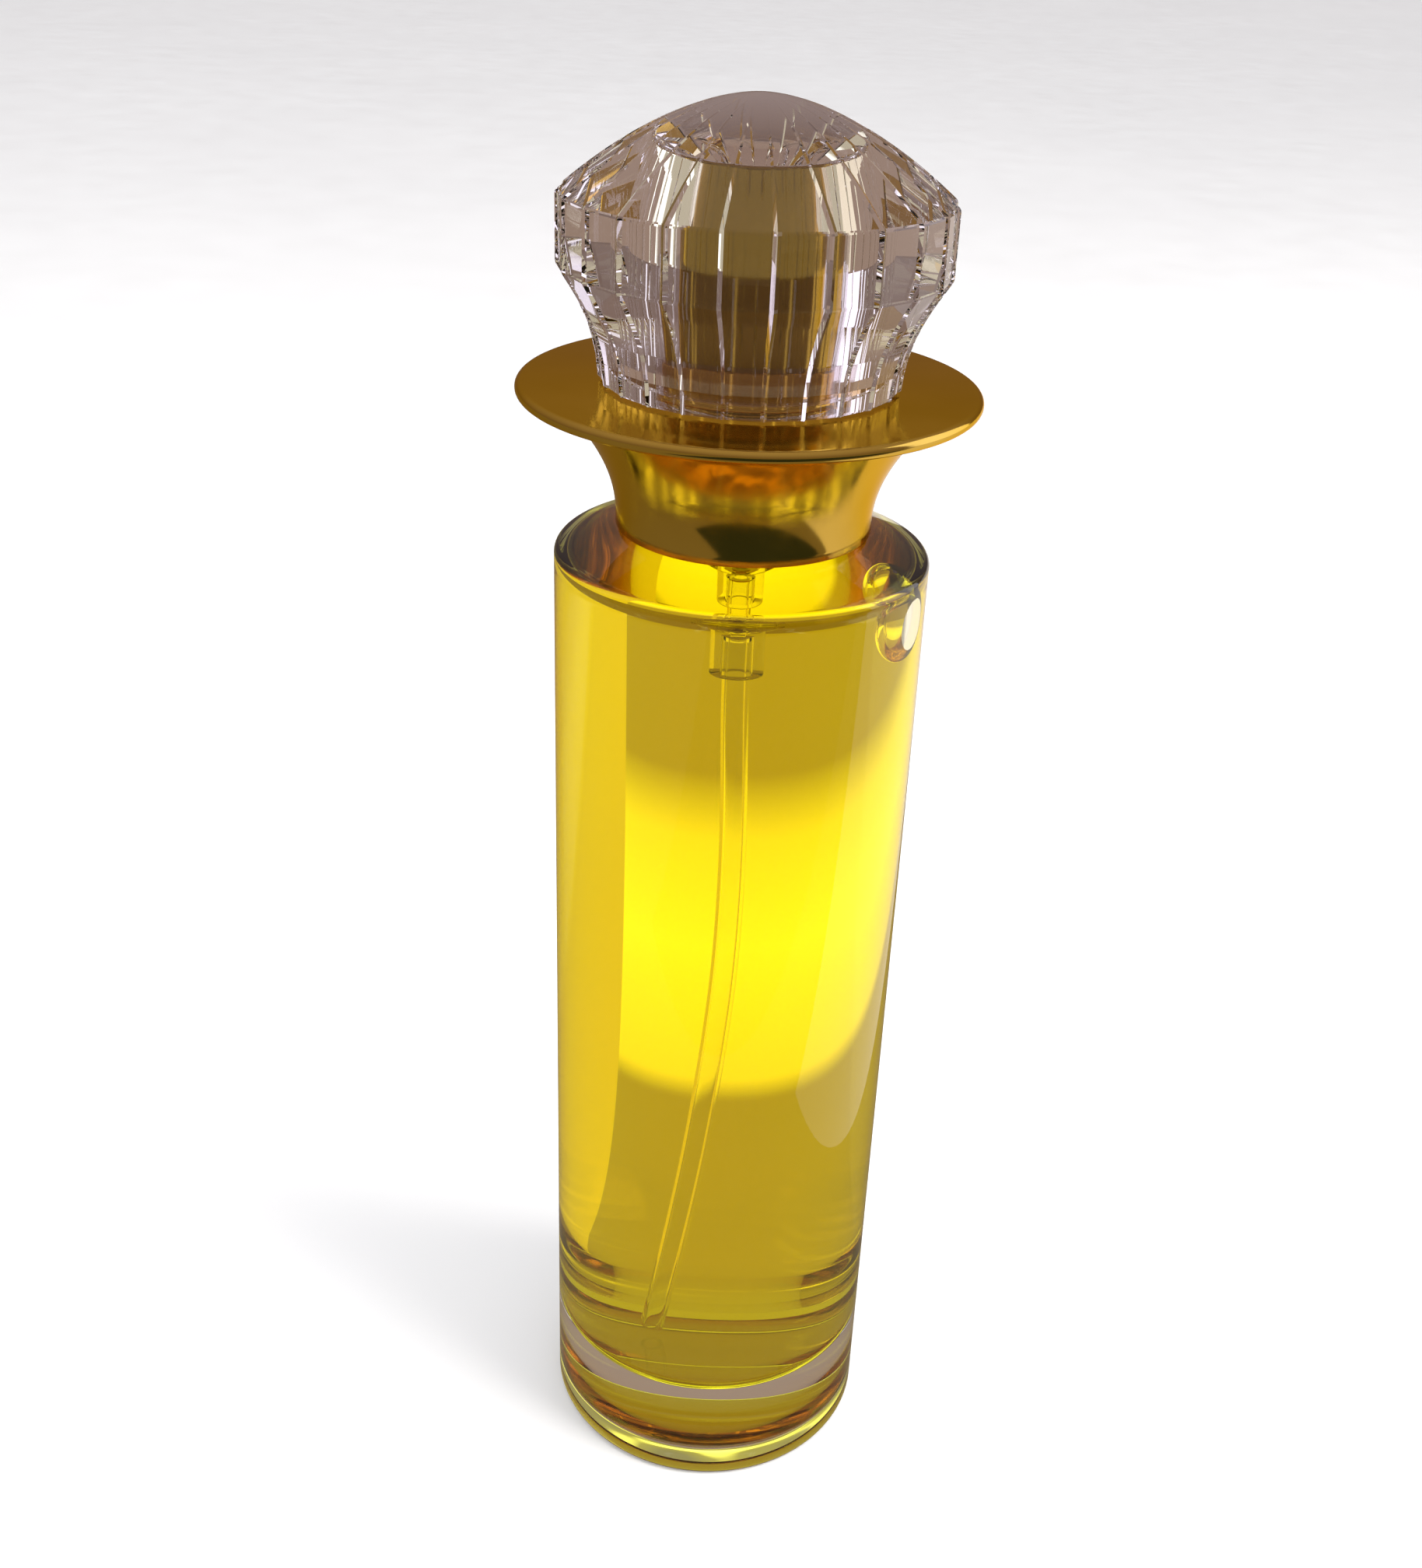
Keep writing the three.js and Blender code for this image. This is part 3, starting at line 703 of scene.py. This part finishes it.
grip_outline = [
    (SPIGOT_RADIUS + GRIP_GAP, CAP_FOOT + 0.5),
    (GRIP_RADIUS - GRIP_GAP, CAP_FOOT + 0.5),
    (GRIP_RADIUS - GRIP_GAP, grip_top - GRIP_GAP),
    (SPIGOT_RADIUS + GRIP_GAP, grip_top - GRIP_GAP),
]
grip = lathe_bmesh(grip_outline, BORE_STEPS, closed=True)
made("grip_ring", grip, CAP, "cap", ["cap_grip_ring"])


# ---- return spring, which in the real pump shortens as the head is pressed; here it keeps the CAD mesh ----

cad_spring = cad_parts["return_spring"]
coil_bmesh = bmesh.new()
coil_bmesh.from_mesh(cad_spring.data)
coil_bmesh.transform(cad_spring.matrix_world)
coil = made("return_coil", coil_bmesh, STEEL, "bottle", ["return_spring"])
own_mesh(coil)


# ---- looks of the CAD pieces that stay ----

KEPT = {
    "inlet_ball": STEEL, "valve_spring": STEEL, "stem": WHITE, "piston": NATURAL,
    "stem_seal": RUBBER, "turret": WHITE, "neck_gasket": RUBBER, "crimp_ferrule": ALUMINIUM,
    "collar_liner": NATURAL, "actuator_core": WHITE,
}
for node, material in KEPT.items():
    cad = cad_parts[node]
    cad.data.materials.clear()
    cad.data.materials.append(material)


# ---- camera ----

def aim(position, forward, roll):
    """A camera matrix that looks along forward, turned clockwise by roll."""
    right = forward.cross(Vector((0, 0, 1))).normalized()
    up = right.cross(forward)
    x = right * math.cos(roll) + up * math.sin(roll)
    y = up * math.cos(roll) - right * math.sin(roll)
    matrix = Matrix((x, y, -forward)).transposed().to_4x4()
    matrix.translation = position
    return matrix


CAMERA_BACK = 8.78 * BODY_RADIUS
CAMERA_HEIGHT = 9.183 * BODY_RADIUS
CAMERA_PITCH = math.radians(28.05)
CAMERA_YAW = -0.013
CAMERA_ROLL = 0.04
CAMERA_LENS = 39.875
camera_data = bpy.data.cameras.new("camera")
camera_data.lens = CAMERA_LENS
camera_data.sensor_width = 36
camera_data.clip_start = 0.005
camera_data.clip_end = 50
camera = bpy.data.objects.new("camera", camera_data)
bpy.context.scene.collection.objects.link(camera)
bpy.context.scene.camera = camera
level_share = math.cos(CAMERA_PITCH)
look = Vector((
    math.sin(CAMERA_YAW) * level_share,
    math.cos(CAMERA_YAW) * level_share,
    -math.sin(CAMERA_PITCH),
))
camera.matrix_world = aim(Vector((0, -CAMERA_BACK, CAMERA_HEIGHT)) * MM, look, CAMERA_ROLL)


# ---- stage and light ----

RAYS = ("camera", "glossy", "transmission", "diffuse")


def card(name, corners, material, *rays):
    """A flat sheet with the given corners in metres, which only the named kinds of ray meet."""
    bm = bmesh.new()
    bm.faces.new([bm.verts.new(corner) for corner in corners])
    mesh = bpy.data.meshes.new(name)
    bm.to_mesh(mesh)
    bm.free()
    mesh.materials.append(material)
    sheet = bpy.data.objects.new(name, mesh)
    bpy.context.scene.collection.objects.link(sheet)
    sheet.visible_shadow = "diffuse" in rays
    sheet.visible_volume_scatter = False
    for kind in RAYS:
        setattr(sheet, "visible_" + kind, kind in rays)


def flat(left, right, near, far, height):
    return [(left, near, height), (right, near, height), (right, far, height), (left, far, height)]


def square(reach, height):
    return flat(-reach, reach, -reach, reach, height)


def standing(azimuth, distance, width, foot, top):
    """The corners of an upright card that faces the bottle; azimuth 0 is behind it, 90 is to its right."""
    a = math.radians(azimuth)
    out = Vector((math.sin(a), math.cos(a), 0)) * distance
    side = Vector((math.cos(a), -math.sin(a), 0)) * width / 2
    left = (out - side).xy
    right = (out + side).xy
    return [(*left, foot), (*right, foot), (*right, top), (*left, top)]


def floor_material():
    n = Nodes("floor")
    n.colour(n.noise(6), [(0.3, (0.93, 0.93, 0.93)), (0.7, (0.96, 0.96, 0.96))])
    n.roughness(n.noise(40), 0.3, 0.7, 0.5, 0.6)
    return n.material


def lit(name, corners, colour, strength, *rays):
    """A card of one even, glowing colour."""
    card(name, corners, Nodes(name).glow(colour, strength), *rays)


def backlight():
    """The floor as the glass shows it: even near the bottle, a painted pool of light further back, then calm,
    then dim.
    """
    n = Nodes("backlight")
    split = n.tree.nodes.new("ShaderNodeSeparateXYZ")
    n.link(n.place, split.inputs["Vector"])
    away = n.spread(split.outputs["Y"], 0.0, BACKLIGHT_DEPTH, 0.0, 1.0)
    stops = [
        (0.0, (0.6, 0.55, 0.4)), (0.248, (0.6, 0.55, 0.4)), (0.266, (1.5, 1.5, 1.3)),
        (0.4, (1.9, 1.9, 1.7)), (0.54, (1.5, 1.5, 1.3)), (0.64, (0.62, 0.55, 0.42)),
        (0.96, (0.62, 0.55, 0.42)), (1.0, (0.3, 0.23, 0.2)),
    ]
    return n.glow(n.ramp(away, stops))


def caustic():
    """The yellow light that the perfume throws on the table around the base, brightest in soft blobs."""
    n = Nodes("caustic")
    stops = [
        (0.4, (0.34, 0.3, 0.1)), (0.52, (0.5, 0.44, 0.08)),
        (0.58, (1.6, 1.5, 0.2)), (0.7, (1.2, 1.1, 0.3)),
    ]
    return n.glow(n.ramp(n.noise(90, 1.0), stops))


FLOOR_REACH = 6
GEL_REACH = 3
BACKLIGHT_DEPTH = 0.25
BAND_NEAR = 0.017
BAND_WIDTH = 1
BAND_LEFT = (0.002, 0.075)  # where the band's left edge starts, near the bottle and at the far end
SHADE_HEIGHT = 0.1005  # between the foot of the shoulder and the cap
STRIPS = (42, 140, 205, 255, 300)  # azimuths of narrow bright strips, which pick out the cap's facets

card("floor", square(FLOOR_REACH, -0.00005), floor_material(), "camera", "diffuse")

# The floor isn't seen through the clear pieces or in the metal. Hidden cards stand in for it there, with
# colours and brightness chosen to match the photograph. Where cards that meet the same rays overlap, their
# heights differ.
# The band is a glowing patch on the floor behind and to the right of the bottle: painted light, seen only
# through the clear pieces.
band = [
    (BAND_LEFT[0], BAND_NEAR, 0),
    (BAND_WIDTH, BAND_NEAR, 0),
    (BAND_WIDTH, BACKLIGHT_DEPTH, 0),
    (BAND_LEFT[1], BACKLIGHT_DEPTH, 0),
]
card("gel_floor", square(GEL_REACH, -0.0004), backlight(), "transmission")
card("gel_caustic", flat(-0.018, 0.018, -0.018, 0.016, -0.0001), caustic(), "transmission")
lit("gel_band", band, (1.0, 0.9, 0.7), 1.1, "transmission")
lit("cap_shade", flat(-0.6, 0.6, 0.024, 0.6, SHADE_HEIGHT), (0.36, 0.26, 0.2), 1, "transmission")
lit("mirror_floor", square(GEL_REACH, -0.0004), (0.24, 0.19, 0.12), 1, "glossy")
lit("mirror_flag", flat(-0.09, 0.45, -0.6, -0.09, -0.0003), (0.035, 0.04, 0.03), 1, "glossy")
lit("mirror_side", flat(0.06, 1.2, -0.05, 1.5, -0.0003), (0.95, 0.85, 0.78), 1, "glossy")
for azimuth in STRIPS:
    strip = standing(azimuth, 0.9, 0.07, 0.15, 1.4)
    lit("strip_%d" % azimuth, strip, (0.92, 0.88, 0.95), 1.3, "transmission")
lit("window", standing(75, 0.7, 0.6, 0.02, 0.8), (0.9, 0.86, 1.0), 1.6, "glossy", "transmission")


def light(name, position, target, size, watts, colour):
    """A soft area light, which the mirrors and the clear pieces don't show."""
    data = bpy.data.lights.new(name, "AREA")
    data.shape = "RECTANGLE"
    data.size, data.size_y = size
    data.energy = watts
    data.color = colour
    lamp = bpy.data.objects.new(name, data)
    bpy.context.scene.collection.objects.link(lamp)
    lamp.location = position
    lamp.rotation_euler = (Vector(position) - Vector(target)).to_track_quat("Z", "Y").to_euler()
    lamp.visible_glossy = False
    lamp.visible_transmission = False


HEART = (0, 0, 0.08)
light("key", (0.5, -0.2, 0.6), HEART, (0.4, 0.5), 6, (1.0, 0.97, 0.93))
light("fill", (-0.6, -0.5, 0.4), HEART, (0.6, 0.6), 3, (0.97, 0.98, 1.0))


def room():
    """Pale where the camera looks and for soft light, a dim warm studio in the clear and mirroring pieces."""
    world = bpy.data.worlds.new("room")
    world.use_nodes = True
    tree = world.node_tree
    direction = tree.nodes.new("ShaderNodeTexCoord").outputs["Generated"]
    split = tree.nodes.new("ShaderNodeSeparateXYZ")
    tree.links.new(direction, split.inputs["Vector"])
    walls = tree.nodes.new("ShaderNodeValToRGB")
    low_wall, high_wall = walls.color_ramp.elements
    low_wall.position = 0
    low_wall.color = (0.2, 0.14, 0.12, 1)
    high_wall.position = 0.9
    high_wall.color = (0.42, 0.34, 0.32, 1)
    tree.links.new(split.outputs["Z"], walls.inputs["Fac"])
    path = tree.nodes.new("ShaderNodeLightPath")
    pale = tree.nodes.new("ShaderNodeMath")
    pale.operation = "MAXIMUM"
    tree.links.new(path.outputs["Is Camera Ray"], pale.inputs[0])
    tree.links.new(path.outputs["Is Diffuse Ray"], pale.inputs[1])
    mix = tree.nodes.new("ShaderNodeMixRGB")
    tree.links.new(pale.outputs["Value"], mix.inputs["Fac"])
    tree.links.new(walls.outputs["Color"], mix.inputs["Color1"])
    mix.inputs["Color2"].default_value = (0.93, 0.93, 0.95, 1)
    tree.links.new(mix.outputs["Color"], tree.nodes["Background"].inputs["Color"])
    return world


scene = bpy.context.scene
scene.world = room()
scene.view_settings.view_transform = "Standard"
scene.cycles.max_bounces = 32
scene.cycles.transmission_bounces = 32
scene.cycles.glossy_bounces = 8
scene.cycles.transparent_max_bounces = 16
